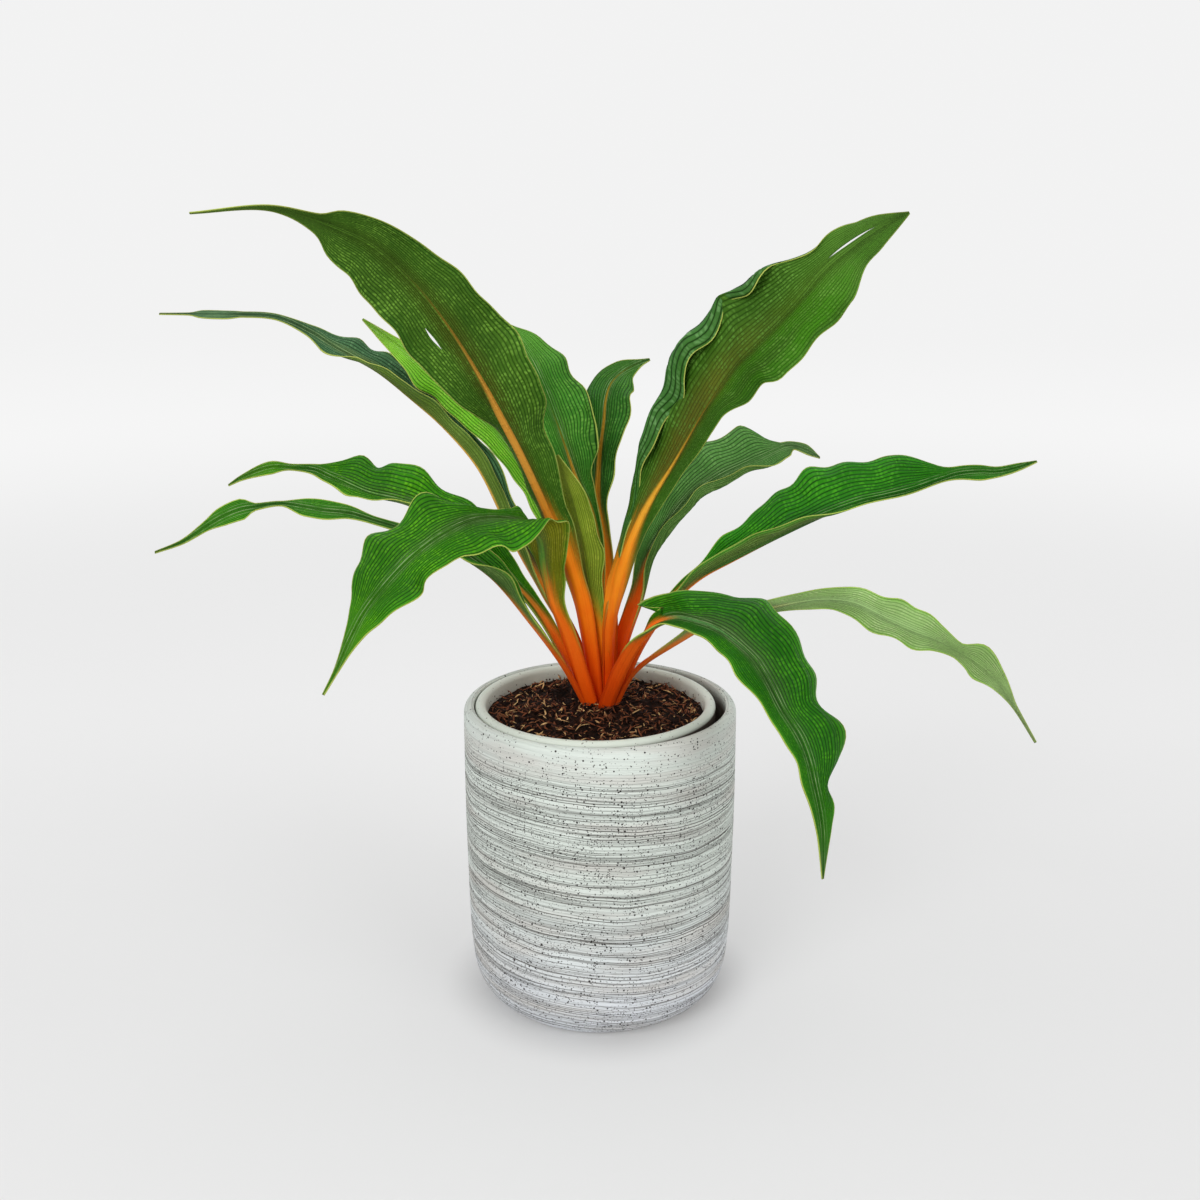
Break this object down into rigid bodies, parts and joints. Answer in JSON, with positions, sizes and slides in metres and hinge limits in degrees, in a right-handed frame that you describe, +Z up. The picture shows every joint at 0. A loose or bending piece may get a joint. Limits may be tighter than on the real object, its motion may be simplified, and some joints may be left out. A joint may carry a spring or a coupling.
{
  "type": "potted chlorophytum",
  "caption": "Chlorophytum with broad ruffled leaves on orange stalks, in a liner pot set in a combed, speckled cylindrical stoneware cover pot.",
  "frame": {"origin": "centre of the cover pot's flat base", "axes": "+Z up along the pot, -Y towards the plant's front, +X to its right"},
  "size_m": [0.4402, 0.214, 0.3927],
  "materials": {
    "stoneware": "matte",
    "pale_ceramic": "satin",
    "potting_mix": "matte",
    "crown": "satin",
    "leaf": "satin"
  },
  "bodies": {
    "root": {"cover_pot": "stoneware", "liner_pot": "pale_ceramic", "potting_mix": "potting_mix", "crown": "crown", "leaf_tall_left": "leaf", "leaf_tall_right": "leaf", "leaf_long_left": "leaf", "leaf_narrow_left": "leaf", "leaf_mid_left": "leaf", "leaf_low_left": "leaf", "leaf_front_left": "leaf", "leaf_back_left": "leaf", "leaf_back_right": "leaf", "leaf_young": "leaf", "leaf_short_right": "leaf", "leaf_mid_right": "leaf", "leaf_low_right": "leaf", "leaf_front_right": "leaf"}
  },
  "joints": []
}
